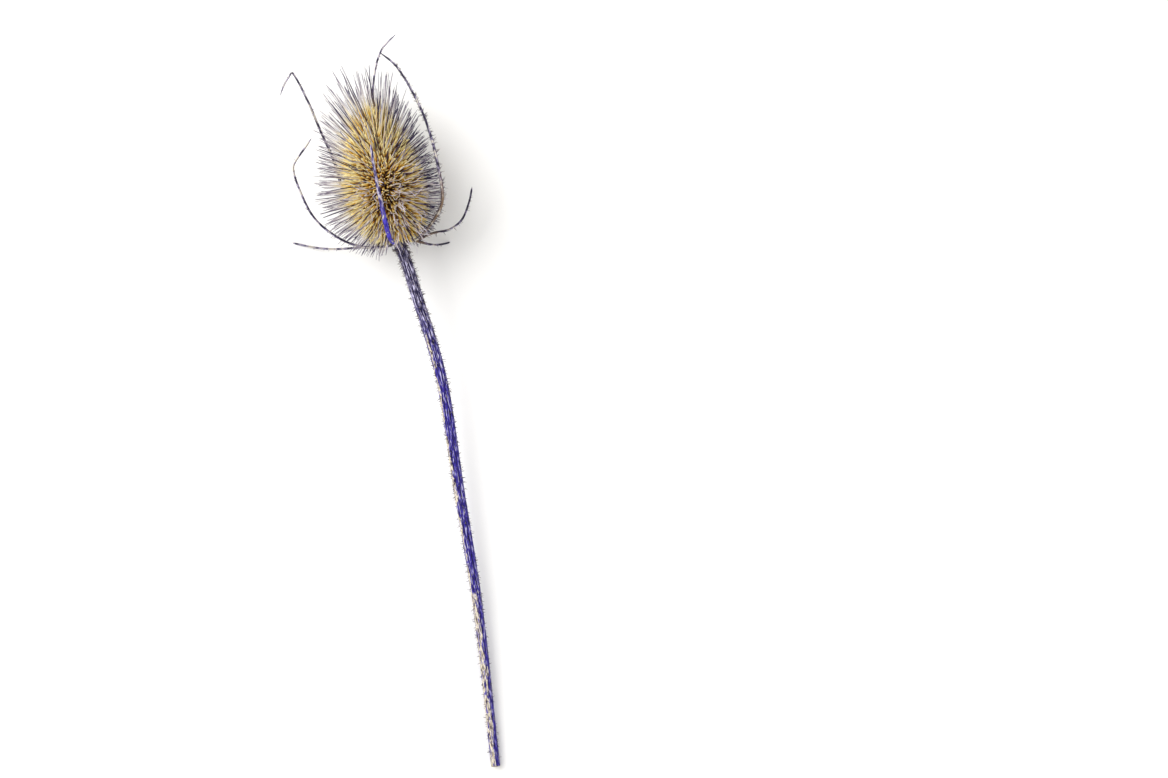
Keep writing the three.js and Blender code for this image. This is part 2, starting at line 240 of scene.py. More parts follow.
class Wiring(NodeWork):
    """The nodes of one material."""

    GLOSS = 0.25
    SHEEN = 0.1
    DETAIL = 3.0
    MIX_FIRST, MIX_SECOND, MIX_RESULT = 6, 7, 2

    def __init__(self, name: str, roughness: float) -> None:
        """Starts a material.

        Args:
            name: The material's name.
            roughness: How rough its surface is on the whole.
        """
        self.material = bpy.data.materials.new(name)
        self.material.use_nodes = True
        super().__init__(self.material.node_tree)
        self.roughness = roughness

    def attribute(self, name: str) -> Socket:
        """Reads one of the mesh's own numbers."""
        return self.add("ShaderNodeAttribute", {}, attribute_name=name).outputs["Fac"]

    def place(self, *parts: Feed) -> Socket:
        """Puts three numbers together as a place to read a pattern at."""
        return self.add("ShaderNodeCombineXYZ", dict(enumerate(parts))).outputs["Vector"]

    def here(self) -> Socket:
        """Reads where a point is on the object."""
        return self.add("ShaderNodeTexCoord", {}).outputs["Object"]

    def noise(self, place: Socket, scale: float) -> Socket:
        """Reads a cloudy pattern, about 0.5 on the whole."""
        fed = {"Vector": place, "Scale": scale, "Detail": self.DETAIL}
        return self.add("ShaderNodeTexNoise", fed).outputs["Fac"]

    def streaks(self, along: Socket, side: Socket, layer: Feed, grain: Spot) -> Socket:
        """Reads a cloudy pattern that is drawn out along a piece.

        Args:
            along: The distance along the piece.
            side: The place across it or round it.
            layer: The layer of the pattern to read.
            grain: What along and side are multiplied by, and the pattern's scale.

        Returns:
            The pattern, about 0.5 on the whole.
        """
        length, width, scale = grain
        return self.noise(self.place(self.times(along, length), self.times(side, width), layer), scale)

    def cells(self, place: Socket, scale: float) -> Socket:
        """Reads the distance to the middle of the nearest cell."""
        return self.add("ShaderNodeTexVoronoi", {"Vector": place, "Scale": scale}).outputs["Distance"]

    def sum(self, operation: str, first: Feed, second: Feed) -> Socket:
        """Works out one number from two."""
        return self.add("ShaderNodeMath", {0: first, 1: second}, operation=operation).outputs["Value"]

    def plus(self, first: Feed, second: Feed) -> Socket:
        """Adds two numbers."""
        return self.sum("ADD", first, second)

    def times(self, first: Feed, second: Feed) -> Socket:
        """Multiplies two numbers."""
        return self.sum("MULTIPLY", first, second)

    def step(self, value: Socket, low: float, high: float) -> Socket:
        """Rises smoothly from 0 at low to 1 at high."""
        fed = {"Value": value, "From Min": low, "From Max": high}
        return self.add("ShaderNodeMapRange", fed, interpolation_type="SMOOTHSTEP").outputs["Result"]

    def ramp(self, value: Socket, stops: Stops, *codes: str) -> Socket:
        """Turns a number into a colour.

        Args:
            value: The number, from 0 to 1.
            stops: The numbers that have a colour of their own.
            codes: Their colours' digits.

        Returns:
            The colour.
        """
        node = self.add("ShaderNodeValToRGB", {"Fac": value})
        elements = node.color_ramp.elements
        while len(elements) < len(stops):
            elements.new(1.0)
        for element, stop, code in zip(elements, stops, codes):
            element.position = stop
            element.color = colour(code)
        return node.outputs["Color"]

    def blend(self, share: Feed, first: Socket | str, second: Socket | str) -> Socket:
        """Goes from one colour to another as share goes from 0 to 1.

        Args:
            share: How far it has gone.
            first: The colour at 0, or its digits.
            second: The colour at 1, or its digits.

        Returns:
            The colour.
        """
        fed: dict[str | int, Feed] = {"Factor": share}
        for socket, end in ((self.MIX_FIRST, first), (self.MIX_SECOND, second)):
            fed[socket] = colour(end) if isinstance(end, str) else end
        return self.add("ShaderNodeMix", fed, data_type="RGBA").outputs[self.MIX_RESULT]

    def finish(self, base: Socket, height: Socket, depth: float) -> Material:
        """Joins the colour and the relief to the surface, which is smoother where it stands higher.

        Args:
            base: The surface's colour.
            height: The relief, from 0 to 1.
            depth: How deep the relief is, in metres.

        Returns:
            The finished material.
        """
        bump = self.add("ShaderNodeBump", {"Distance": depth, "Height": height})
        rough, smooth = self.roughness + self.SHEEN, self.roughness - self.SHEEN
        sheen = self.add("ShaderNodeMapRange", {"Value": height, "To Min": rough, "To Max": smooth})
        surface = {
            "Base Color": base,
            "Normal": bump.outputs["Normal"],
            "Roughness": sheen.outputs["Result"],
            "Specular IOR Level": self.GLOSS,
        }
        self.feed(self.tree.nodes["Principled BSDF"], surface)
        return self.material


@dataclass(frozen=True)
class SpineFinish:
    """Dry spines: amber roots, straw blades and violet-grey points, with painted shade along their sides;
    some of them dark all over.
    """

    roughness: float = 0.6
    root: str = "c07a1c"
    amber: str = "f8cf58"
    straw: str = "f6eac6"
    lilac: str = "dad3d2"
    grey: str = "8c8392"
    point: str = "443b52"
    pale_stops: Stops = (0.0, 0.14, 0.3, 0.52, 0.8, 0.98)
    dark_root: str = "5e3408"
    dark_blade: str = "6a5746"
    dark_point: str = "332a48"
    dark_stops: Stops = (0.0, 0.35, 0.65)
    dark_tones: Span = (0.62, 0.72)
    drift: float = 0.2
    rim: Span = (0.7, 1.0)
    # Where the grain breaks up the painted shade along the spines' sides.
    painted_shading: Span = (0.3, 0.6)
    grain: float = 1400.0
    depth: float = 0.05 * MM

    def material(self) -> Material:
        """Makes the material.

        Returns:
            A material that reads along, edge and tone from the mesh.
        """
        wiring = Wiring("dry_spine", self.roughness)
        tone = wiring.attribute("tone")
        place = wiring.plus(wiring.attribute("along"), wiring.times(wiring.plus(tone, -0.5), self.drift))
        pale_codes = (self.root, self.amber, self.straw, self.lilac, self.grey, self.point)
        pale = wiring.ramp(place, self.pale_stops, *pale_codes)
        dark = wiring.ramp(place, self.dark_stops, self.dark_root, self.dark_blade, self.dark_point)
        grain = wiring.noise(wiring.here(), self.grain)
        # Painted shade: each spine is darkened along its two sides, broken up by the grain; spines whose tone
        # is high are dark all over, partly at random and partly as painted shade on the right side of the
        # head.
        rim = wiring.step(wiring.attribute("edge"), *self.rim)
        painted_shading = wiring.times(rim, wiring.step(grain, *self.painted_shading))
        shaded = wiring.sum("MAXIMUM", painted_shading, wiring.step(tone, *self.dark_tones))
        return wiring.finish(wiring.blend(shaded, pale, dark), grain, self.depth)


@dataclass(frozen=True)
class FloretFinish:
    """The dry florets deep between the spines: burnt orange to straw."""

    roughness: float = 0.7
    root: str = "9a5a0c"
    middle: str = "fbcb4a"
    frayed: str = "fff1b6"
    stops: Stops = (0.05, 0.5, 1.0)
    drift: float = 0.25
    grain: float = 1200.0
    depth: float = 0.1 * MM

    def material(self) -> Material:
        """Makes the material.

        Returns:
            A material that reads along and tone from the mesh.
        """
        wiring = Wiring("dry_floret", self.roughness)
        place = wiring.plus(wiring.attribute("along"), wiring.times(wiring.attribute("tone"), self.drift))
        base = wiring.ramp(place, self.stops, self.root, self.middle, self.frayed)
        return wiring.finish(base, wiring.noise(wiring.here(), self.grain), self.depth)


@dataclass(frozen=True)
class ThreadFinish:
    """Thin dry threads among the spines: ochre roots and pale lilac ends."""

    roughness: float = 0.6
    root: str = "c08a3c"
    middle: str = "e3d6c6"
    end: str = "cfc6d4"
    stops: Stops = (0.2, 0.5, 1.0)
    drift: float = 0.1
    grain: float = 1600.0
    depth: float = 0.04 * MM

    def material(self) -> Material:
        """Makes the material.

        Returns:
            A material that reads along from the mesh.
        """
        wiring = Wiring("dry_thread", self.roughness)
        grain = wiring.noise(wiring.here(), self.grain)
        place = wiring.plus(wiring.attribute("along"), wiring.times(grain, self.drift))
        base = wiring.ramp(place, self.stops, self.root, self.middle, self.end)
        return wiring.finish(base, grain, self.depth)


@dataclass(frozen=True)
class CoreFinish:
    """The pithy core that the spines stand on: brown, with dark pits."""

    roughness: float = 0.85
    brown: str = "a8681c"
    pit: str = "3a1e06"
    stops: Stops = (0.1, 0.6)
    pits: float = 520.0
    depth: float = 0.4 * MM

    def material(self) -> Material:
        """Makes the material.

        Returns:
            A material with pits at the spacing of the spines.
        """
        wiring = Wiring("pithy_core", self.roughness)
        pits = wiring.cells(wiring.here(), self.pits)
        return wiring.finish(wiring.ramp(pits, self.stops, self.brown, self.pit), pits, self.depth)


@dataclass(frozen=True)
class BractFinish:
    """A dry bract: slate with pale flecks and dark thin edges, on some violet or brown by the root."""

    roughness: float = 0.6
    indigo: str = "221c38"
    slate: str = "4a4256"
    lavender: str = "9d95b4"
    cream: str = "c8c0b4"
    blade_stops: Stops = (0.43, 0.49, 0.55, 0.61)
    paler: float = 0.16
    flecks: Spot = (1.0, 2 * MM, 330.0)
    deep_violet: str = "1f1078"
    violet: str = "5044c8"
    root_stops: Stops = (0.4, 0.6)
    fibres: Spot = (0.4, 4 * MM, 900.0)
    brown: str = "7c6650"
    tinted: Span = (0.68, 0.56)
    edge: str = "1d1828"
    rim: Span = (0.7, 1.1)
    depth: float = 0.08 * MM

    def material(self) -> Material:
        """Makes the material.

        Returns:
            A material that reads along, across, violet, brown, pale and tone from the mesh.
        """
        wiring = Wiring("dry_bract", self.roughness)
        along, across, tone = (wiring.attribute(name) for name in ("along", "across", "tone"))
        flecks = wiring.streaks(along, across, tone, self.flecks)
        lighter = wiring.plus(flecks, wiring.times(wiring.attribute("pale"), self.paler))
        blade = wiring.ramp(lighter, self.blade_stops, self.indigo, self.slate, self.lavender, self.cream)
        fibres = wiring.streaks(along, across, tone, self.fibres)
        root = wiring.ramp(fibres, self.root_stops, self.deep_violet, self.violet)
        for name, tint in (("brown", self.brown), ("violet", root)):
            share = wiring.times(wiring.attribute(name), wiring.step(flecks, *self.tinted))
            blade = wiring.blend(share, blade, tint)
        rim = wiring.step(wiring.times(across, across), *self.rim)
        return wiring.finish(wiring.blend(rim, blade, self.edge), fibres, self.depth)


@dataclass(frozen=True)
class StemFinish:
    """A dry stem: slate near the head, then indigo with painted shade in its furrows, and painted light in
    cream patches on its upper left side.
    """

    roughness: float = 0.7
    furrow: str = "110c30"
    slate: str = "2b2648"
    mauve: str = "6c6584"
    indigo: str = "261a78"
    violet: str = "3a2d96"
    lavender: str = "c3bdda"
    cream: str = "dcd3bd"
    tan: str = "8f7b5c"
    dash: str = "241c48"
    skin_stops: Stops = (0.36, 0.45, 0.55, 0.66)
    slate_stops: Stops = (0.4, 0.46, 0.53, 0.6)
    # The colours of the painted light on the stem's upper left side.
    painted_light_stops: Stops = (0.4, 0.45, 0.49, 0.56, 0.6)
    fibres: Spot = (0.7, 5.0, 420.0)
    patches: Spot = (1.0, 5.0, 120.0)
    patch_layer: float = 2.0
    # Painted shade: where between the ridges the furrows are darkened.
    painted_furrow_shade: Span = (0.5, 0.1)
    # How far the painted light widens the cream patches, and where their edge lies.
    cover: float = 0.26
    painted_light_edge: Span = (0.52, 0.58)
    depth: float = 0.12 * MM

    def material(self) -> Material:
        """Makes the material.

        Returns:
            A material that reads along, ridge, around, the painted light of the upper left side, and slate
            from the mesh.
        """
        wiring = Wiring("dry_stem", self.roughness)
        along, around = wiring.attribute("along"), wiring.attribute("around")
        fibres = wiring.streaks(along, around, 0.0, self.fibres)
        patches = wiring.streaks(along, around, self.patch_layer, self.patches)
        skin = wiring.ramp(fibres, self.skin_stops, self.furrow, self.indigo, self.violet, self.lavender)
        slate = wiring.ramp(fibres, self.slate_stops, self.furrow, self.slate, self.mauve, self.lavender)
        skin = wiring.blend(wiring.attribute("slate"), skin, slate)
        # Painted shade: the furrows between the ridges are darkened.
        skin = wiring.blend(wiring.step(wiring.attribute("ridge"), *self.painted_furrow_shade), skin, self.furrow)
        # Painted light: the side facing up and to the left, towards the key light, turns cream in patches,
        # with tan and dark dashes.
        painted_light_codes = (self.dash, self.tan, self.cream, self.cream, self.violet)
        painted_shading = wiring.ramp(fibres, self.painted_light_stops, *painted_light_codes)
        bleach = wiring.times(wiring.plus(wiring.attribute("bleach"), -0.5), self.cover)
        bleached = wiring.step(wiring.plus(patches, bleach), *self.painted_light_edge)
        return wiring.finish(wiring.blend(bleached, skin, painted_shading), fibres, self.depth)


@dataclass(frozen=True)
class PrickleFinish:
    """Prickles and bristles: dark violet roots and pale horn points."""

    roughness: float = 0.5
    root: str = "342c4a"
    horn: str = "9c8f84"
    stops: Stops = (0.1, 0.7)
    grain: float = 2200.0
    depth: float = 0.02 * MM

    def material(self) -> Material:
        """Makes the material.

        Returns:
            A material that reads along and tone from the mesh.
        """
        wiring = Wiring("horn_prickle", self.roughness)
        reach = wiring.times(wiring.attribute("along"), wiring.attribute("tone"))
        base = wiring.ramp(reach, self.stops, self.root, self.horn)
        return wiring.finish(base, wiring.noise(wiring.here(), self.grain), self.depth)


@dataclass(frozen=True)
class PithFinish:
    """The cut end of the stem: a woody ring round pale pith."""

    roughness: float = 0.9
    pith: str = "e9dfc2"
    wood: str = "8b7450"
    stops: Stops = (0.6, 1.0)
    drift: float = 0.3
    grain: float = 2500.0
    depth: float = 0.2 * MM

    def material(self) -> Material:
        """Makes the material.

        Returns:
            A material that reads rim from the mesh.
        """
        wiring = Wiring("cut_pith", self.roughness)
        grain = wiring.noise(wiring.here(), self.grain)
        shade = wiring.plus(wiring.attribute("rim"), wiring.times(grain, self.drift))
        return wiring.finish(wiring.ramp(shade, self.stops, self.pith, self.wood), grain, self.depth)


@dataclass(frozen=True)
class FloorFinish:
    """A plain pale surface."""

    roughness: float = 0.9
    pale: str = "f4f3f1"
    shade: str = "efeeec"
    cloud: float = 6.0
    depth: float = 0.05 * MM

    def material(self) -> Material:
        """Makes the material.

        Returns:
            A near-white material.
        """
        wiring = Wiring("pale_floor", self.roughness)
        cloud = wiring.noise(wiring.here(), self.cloud)
        return wiring.finish(wiring.blend(cloud, self.pale, self.shade), cloud, self.depth)


def new_object(name: str, data: bpy.types.ID) -> bpy.types.Object:
    """Adds an object to the scene.

    Args:
        name: The object's name.
        data: Its mesh, light or camera.

    Returns:
        The object, at the origin.
    """
    piece = bpy.data.objects.new(name, data)
    bpy.context.scene.collection.objects.link(piece)
    return piece


def new_piece(
    name: str, points: Array, faces: Faces, material: Material | None = None, **numbers: Array
) -> bpy.types.Object:
    """Makes a mesh object at the origin, with its place in its mesh.

    Args:
        name: The object's name.
        points: Its vertices.
        faces: Its faces, as vertex numbers.
        material: Its material, if it has one yet.
        numbers: Further numbers for each vertex, by name.

    Returns:
        The object.
    """
    mesh = bpy.data.meshes.new(name)
    mesh.from_pydata(points.reshape(-1, 3).tolist(), [], faces)
    for key, values in numbers.items():
        values = np.asarray(values, np.float32)
        kind, field = ("FLOAT_VECTOR", "vector") if values.ndim == 2 else ("FLOAT", "value")
        mesh.attributes.new(key, kind, "POINT").data.foreach_set(field, values.ravel())
    mesh.shade_smooth()
    if material:
        mesh.materials.append(material)
    return new_object(name, mesh)


def tube_faces(rings: int, sides: int) -> Faces:
    """Joins rings of vertices that follow each other, anticlockwise about their way, and closes both ends.

    Args:
        rings: How many rings there are.
        sides: How many vertices a ring has.

    Returns:
        The faces.
    """
    faces: Faces = [tuple(range(sides))[::-1]]
    for ring in range(rings - 1):
        for side in range(sides):
            a, b = ring * sides + side, ring * sides + (side + 1) % sides
            faces.append((a, b, b + sides, a + sides))
    faces.append(tuple(range((rings - 1) * sides, rings * sides)))
    return faces


def attach(piece: bpy.types.Object, node: str) -> None:
    """Gives a piece its place in the frame and reports it.

    Args:
        piece: The finished piece.
        node: The solid that it stands for.
    """
    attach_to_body(piece, BODY)
    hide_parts(node)
    log.info("%s: %d faces, for %s", piece.name, len(piece.data.polygons), node)


@dataclass(frozen=True)
class ThornForm:
    """A small shape of unit length that stands on a surface, narrowing from root to tip.

    Attributes:
        profile: Shares of the length, and the half width there in millimetres.
        flatness: Thickness as a share of width.
        bend: How far the tip stands off the straight line.
        wave: How far it winds from side to side.
    """

    profile: tuple[Span, ...]
    flatness: float
    bend: float
    wave: float = 0.0

    WINDING = 2.4 * math.pi

    def build(self, name: str) -> bpy.types.Object:
        """Makes the shape, four-sided, with the two side edges marked that the spine finish darkens as
        painted shade.

        Args:
            name: The object's name.

        Returns:
            An object along +Z, with along and edge on its vertices.
        """
        corners = np.array([(1.0, 0.0), (0.0, self.flatness), (-1.0, 0.0), (0.0, -self.flatness)])
        rings = []
        for share, half in self.profile:
            middle = (self.bend * share * share, self.wave * math.sin(self.WINDING * share))
            rings.append(np.column_stack([half * MM * corners + middle, np.full(4, share)]))
        along = np.repeat([share for share, _ in self.profile], 4)
        # edge marks the two side corners, where the spine finish paints shade.
        edge = np.tile([1.0, 0.0, 1.0, 0.0], len(rings))
        return new_piece(name, np.array(rings), tube_faces(len(rings), 4), along=along, edge=edge)


SPINE_PROFILE = (
    (-0.08, 0.34), (0.1, 0.48), (0.22, 0.34), (0.4, 0.26),
    (0.7, 0.21), (0.94, 0.15), (1.0, 0.02),
)
FLORET_PROFILE = ((-0.2, 0.3), (0.4, 0.46), (0.8, 0.36), (1.0, 0.08))
THREAD_PROFILE = (
    (-0.1, 0.16), (0.15, 0.22), (0.3, 0.22), (0.45, 0.21),
    (0.6, 0.2), (0.75, 0.18), (0.9, 0.15), (1.0, 0.03),
)
PRICKLE_PROFILE = ((-0.3, 0.3), (0.2, 0.2), (0.9, 0.06), (1.0, 0.01))
BRISTLE_PROFILE = ((-0.2, 0.15), (0.4, 0.11), (0.8, 0.08), (1.0, 0.01))


class Thorn(Enum):
    """The small shapes that repeat."""

    SPINE = ThornForm(SPINE_PROFILE, flatness=0.6, bend=0.6 * MM)
    CURLED_SPINE = ThornForm(SPINE_PROFILE, flatness=0.6, bend=2.2 * MM)
    FLORET = ThornForm(FLORET_PROFILE, flatness=0.45, bend=0.5 * MM)
    THREAD = ThornForm(THREAD_PROFILE, flatness=0.8, bend=2.6 * MM, wave=0.9 * MM)
    PRICKLE = ThornForm(PRICKLE_PROFILE, flatness=0.8, bend=0.12 * MM)
    BRISTLE = ThornForm(BRISTLE_PROFILE, flatness=0.8, bend=0.5 * MM)


@dataclass
class ThornPoints:
    """Where thorns stand, and how.

    Attributes:
        roots: Where each leaves the surface.
        ways: The direction of each.
        reach: The length of each.
        girth: The width of each, as a share of its shape's own.
        tone: A number that varies the colour of each.
    """

    roots: Array
    ways: Array
    reach: Array
    girth: Array
    tone: Array

    def heights(self) -> Array:
        """Gives the height of each tip over the surface."""
        return self.roots[:, 2] + self.ways[:, 2] * self.reach

    def pick(self, chosen: Array) -> "ThornPoints":
        """Leaves only the chosen thorns."""
        values = (self.roots, self.ways, self.reach, self.girth, self.tone)
        return ThornPoints(*(value[chosen] for value in values))


class ThornTree(NodeWork):
    """A node tree that stands one shape on every point of a mesh and makes the result plain geometry."""

    INPUTS = (
        ("Points", "NodeSocketGeometry"),
        ("Shape", "NodeSocketObject"),
        ("Girth", "NodeSocketFloat"),
        ("Twist seed", "NodeSocketInt"),
        ("Finish", "NodeSocketMaterial"),
    )
    RANDOM_MOST, RANDOM_VALUE = 3, 1

    def __init__(self) -> None:
        """Builds the tree."""
        super().__init__(bpy.data.node_groups.new("thorns_on_points", "GeometryNodeTree"))
        outside = self.tree.interface
        self.sockets = {
            name: outside.new_socket(name, in_out="INPUT", socket_type=kind).identifier
            for name, kind in self.INPUTS
        }
        outside.new_socket("Thorns", in_out="OUTPUT", socket_type="NodeSocketGeometry")
        given = self.add("NodeGroupInput", {}).outputs
        shape = self.add("GeometryNodeObjectInfo", {"Object": given["Shape"]})
        way = self._read("way", "FLOAT_VECTOR")
        aimed = self.add("FunctionNodeAlignRotationToVector", {"Vector": way}, axis="Z")
        twists = {"Seed": given["Twist seed"], self.RANDOM_MOST: math.tau}
        twist = self.add("FunctionNodeRandomValue", twists).outputs[self.RANDOM_VALUE]
        turn = self.add("FunctionNodeAxisAngleToRotation", {"Angle": twist})
        turns = {"Rotation": aimed.outputs[0], "Rotate By": turn.outputs[0]}
        turned = self.add("FunctionNodeRotateRotation", turns, rotation_space="LOCAL")
        widths = {0: self._read("girth", "FLOAT"), 1: given["Girth"]}
        girth = self.add("ShaderNodeMath", widths, operation="MULTIPLY").outputs[0]
        size = self.add("ShaderNodeCombineXYZ", {"X": girth, "Y": girth, "Z": self._read("reach", "FLOAT")})
        standing = {
            "Points": given["Points"],
            "Instance": shape.outputs["Geometry"],
            "Rotation": turned.outputs[0],
            "Scale": size.outputs[0],
        }
        stand = self.add("GeometryNodeInstanceOnPoints", standing)
        plain = self.add("GeometryNodeRealizeInstances", {"Geometry": stand.outputs[0]})
        coated = {"Geometry": plain.outputs[0], "Material": given["Finish"]}
        coat = self.add("GeometryNodeSetMaterial", coated)
        self.add("NodeGroupOutput", {"Thorns": coat.outputs[0]})

    def _read(self, name: str, kind: str) -> Socket:
        """Adds a node that reads one of the points' own values."""
        node = self.add("GeometryNodeInputNamedAttribute", {"Name": name}, data_type=kind)
        return node.outputs["Attribute"]

    def grow(
        self, name: str, thorn: Thorn, points: ThornPoints, finish: Material, seed: int, girth: float = 1.0
    ) -> bpy.types.Object:
        """Stands thorns on points.

        Args:
            name: The piece's name.
            thorn: The shape that repeats.
            points: Where the thorns stand.
            finish: Their material.
            seed: The seed of the turn of each about its own line.
            girth: The width of all of them, as a share of the shape's own.

        Returns:
            A plain mesh object at the origin.
        """
        shape = thorn.value.build(f"{name}.shape")
        values = {"way": points.ways, "reach": points.reach, "girth": points.girth, "tone": points.tone}
        stand = new_piece(f"{name}.points", points.roots, [], **values)
        grower = stand.modifiers.new("thorns", "NODES")
        grower.node_group = self.tree
        for socket, value in (("Shape", shape), ("Girth", girth), ("Twist seed", seed), ("Finish", finish)):
            grower[self.sockets[socket]] = value
        graph = bpy.context.evaluated_depsgraph_get()
        mesh = bpy.data.meshes.new_from_object(stand.evaluated_get(graph), depsgraph=graph)
        stand.modifiers.remove(grower)
        bpy.data.objects.remove(stand)
        bpy.data.objects.remove(shape)
        mesh.name = name
        return new_object(name, mesh)


@dataclass(frozen=True)
class BractShape:
    """One bract's own shape and colour.

    Attributes:
        node: The solid that it stands for.
        angle: Where it is rooted round the axis, in degrees from the top towards the right.
        route: The points that it passes beyond its shoulder, in millimetres: to the right of the head's base,
            along the head and above the surface.
        width: Its width as a share of the usual.
        slender: How much narrower its root is, as a share of its width.
        violet: How far along it the violet of its root reaches, as a share of its length.
        tint: How much of the violet is left at its tip, from 0 to 1.
        pale: How pale it is beyond the violet, from 0 to 1.
        brown: How far along it its brown lower part reaches, as a share of its length.
        hairy: How many prickles it has, as a multiple of the usual.
    """

    node: str
    angle: float
    route: tuple[Spot, ...]
    width: float = 1.0
    slender: float = 0.0
    violet: float = 0.0
    tint: float = 0.0
    pale: float = 0.0
    brown: float = 0.0
    hairy: float = 1.0


BRACTS = (
    BractShape(
        "bract_front",
        -12,
        ((-2.6, 1.5, 36.4), (-2.7, 10.2, 46.2), (-2.6, 20.4, 50.2), (-2.4, 29.9, 51.4), (-1.9, 39.1, 50.8)),
        width=1.45,
        slender=0.4,
        violet=0.66,
        tint=0.18,
        pale=0.15,
        hairy=0.7,
    ),
    BractShape(
        "bract_right_tall",
        64,
        (
            (15.4, 5, 27), (21, 12, 33.5), (22.3, 28.3, 38.2), (21.7, 40, 38),
            (20, 50.5, 37.4), (14, 68.4, 35.5), (8.6, 75.4, 34),
        ),
        brown=0.45,
        hairy=5.0,
    ),
    BractShape(
        "bract_right",
        98,
        ((14.2, 0.7, 18.4), (21.1, 0.8, 18), (26.6, 3.5, 17.4), (30.8, 9.5, 16.6), (33.6, 15.9, 15.6)),
        brown=0.4,
        hairy=2.5,
    ),
    BractShape("bract_right_short", 138, ((12.5, -3.4, 8.6), (16.7, -3.9, 3.4), (20, -3.7, 0.4)), brown=0.5),
    BractShape(
        "bract_under",
        178,
        (
            (3.4, 2.6, 3.6), (8.6, 13, 0.42), (10, 24, 0.3), (6, 42, 0.42),
            (1, 56, 2), (4, 69.9, 5.4), (9, 78.6, 8.4), (15.9, 83.3, 11),
        ),
    ),
    BractShape(
        "bract_left_tall",
        -146,
        (
            (-11, 2.6, 5.2), (-17.4, 17, 2), (-19.8, 39, 3.4), (-22.4, 51.2, 6.4), (-24.7, 63.5, 10),
            (-28, 75.4, 12.9), (-28.7, 76.5, 13), (-29.7, 75.5, 12.9), (-32.7, 72.4, 12.4),
            (-35.4, 68.2, 11.4),
        ),
        pale=0.15,
    ),
    BractShape(
        "bract_left_low",
        -113,
        ((-16, 1.2, 12.6), (-26.4, 3, 5.4), (-34, 5.2, 1.8), (-43.7, 9.4, 0.4)),
        pale=0.1,
        brown=0.3,
    ),
    BractShape(
        "bract_left",
        -80,
        (
            (-15.4, 1.4, 21), (-22, 5.2, 24), (-30.5, 15, 26.4), (-34.2, 26.8, 26.8),
            (-35.2, 37.4, 27.2), (-33.9, 39.6, 27.4), (-28.2, 44.9, 28.4), (-25.5, 47.6, 29),
        ),
        pale=0.3,
        hairy=1.5,
    ),
)


@dataclass
class BractLine:
    """A bract's middle line with its directions and half sizes, at even steps.

    Attributes:
        centre: The points of the line.
        along: The line's directions.
        across: The directions of the blade's edge.
        out: The directions that its outer face looks.
        half_width: Half the blade's width.
        half_thickness: Half the blade's thickness.
    """

    centre: Array
    along: Array
    across: Array
    out: Array
    half_width: Array
    half_thickness: Array


